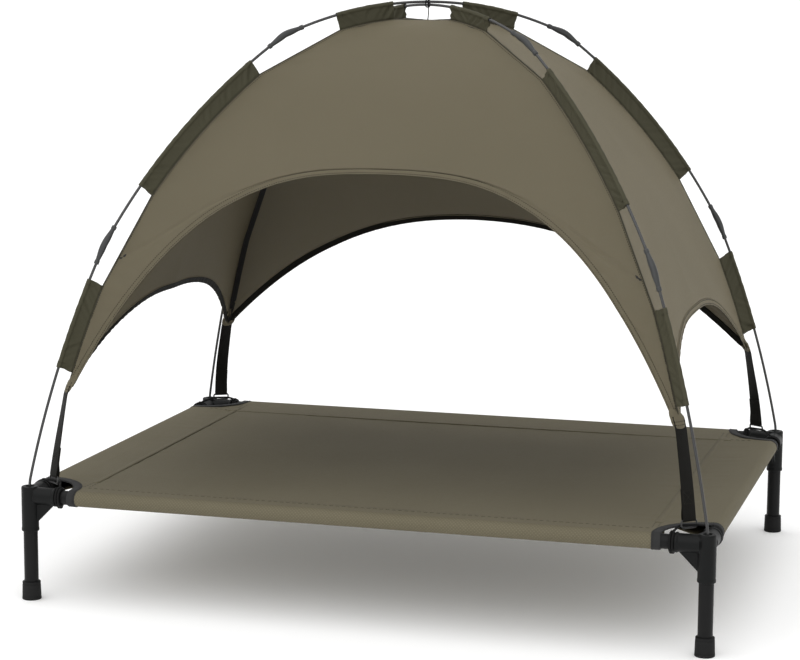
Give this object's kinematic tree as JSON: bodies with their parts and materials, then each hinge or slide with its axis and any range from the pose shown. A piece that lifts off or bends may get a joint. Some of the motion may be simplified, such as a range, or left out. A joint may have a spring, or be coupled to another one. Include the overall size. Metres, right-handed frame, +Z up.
{
  "type": "raised pet bed with canopy",
  "caption": "Raised dog bed: black tube frame with corner connectors, stretched fabric deck, and a lift-off arched canopy on crossed bent poles held down by corner straps.",
  "frame": {"origin": "centre of the frame on the floor, midway between the four legs", "axes": "+X to the right along the bed's long side, +Y to the back, +Z up"},
  "size_m": [1.2246, 0.9246, 1.0457],
  "materials": {
    "steel_tube": "black powder coat, low satin",
    "connector": "moulded black plastic, fine matt texture",
    "rubber_foot": "black rubber, matt",
    "deck_fabric": "coated polyester weave, brown green",
    "canopy_fabric": "plain coated polyester, olive",
    "sleeve_fabric": "plain coated polyester, darker olive, doubled",
    "binding_tape": "black woven binding tape",
    "webbing": "black flat webbing",
    "glass_fibre_rod": "dark grey glass-fibre rod, smooth",
    "ferrule": "moulded dark grey plastic, satin",
    "buckle": "moulded black plastic, satin",
    "tie_cord": "black braided elastic cord",
    "shock_cord": "white braided shock cord, inside the rods"
  },
  "bodies": {
    "bed_frame": {"front_rail": "steel_tube", "back_rail": "steel_tube", "left_rail": "steel_tube", "right_rail": "steel_tube", "bed_sheet": "deck_fabric", "leg_front_left": "steel_tube", "leg_front_right": "steel_tube", "leg_rear_left": "steel_tube", "leg_rear_right": "steel_tube", "foot_front_left": "rubber_foot", "foot_front_right": "rubber_foot", "foot_rear_left": "rubber_foot", "foot_rear_right": "rubber_foot", "corner_front_left": "connector", "corner_front_right": "connector", "corner_rear_left": "connector", "corner_rear_right": "connector", "corner_binding_front_left": "binding_tape", "corner_binding_front_right": "binding_tape", "corner_binding_rear_left": "binding_tape", "corner_binding_rear_right": "binding_tape", "tie_cord_front_left": "tie_cord", "tie_cord_front_right": "tie_cord", "tie_cord_rear_left": "tie_cord", "tie_cord_rear_right": "tie_cord", "strap_rings": "buckle"},
    "canopy": {"lower_rod_front_left": "glass_fibre_rod", "lower_rod_front_right": "glass_fibre_rod", "lower_rod_rear_left": "glass_fibre_rod", "lower_rod_rear_right": "glass_fibre_rod", "upper_rod_front_left": "glass_fibre_rod", "upper_rod_front_right": "glass_fibre_rod", "upper_rod_rear_left": "glass_fibre_rod", "upper_rod_rear_right": "glass_fibre_rod", "lower_ferrule_front_left": "ferrule", "lower_ferrule_front_right": "ferrule", "lower_ferrule_rear_left": "ferrule", "lower_ferrule_rear_right": "ferrule", "upper_ferrule_front_left": "ferrule", "upper_ferrule_front_right": "ferrule", "upper_ferrule_rear_left": "ferrule", "upper_ferrule_rear_right": "ferrule", "top_rod_a": "glass_fibre_rod", "top_rod_b": "glass_fibre_rod", "shock_cord_a": "shock_cord", "shock_cord_b": "shock_cord", "crossing_tie": "binding_tape", "pole_sleeve_front_left": "sleeve_fabric", "pole_sleeve_front_right": "sleeve_fabric", "pole_sleeve_rear_left": "sleeve_fabric", "pole_sleeve_rear_right": "sleeve_fabric", "strap_front_left": "webbing", "strap_front_right": "webbing", "strap_rear_left": "webbing", "strap_rear_right": "webbing", "front_panel": "canopy_fabric", "back_panel": "canopy_fabric", "left_panel": "canopy_fabric", "right_panel": "canopy_fabric"}
  },
  "joints": [
    {"name": "canopy_lift", "type": "slide", "parent": "bed_frame", "child": "canopy", "axis": [0, 0, 1], "range_m": [0, 0.12]}
  ]
}
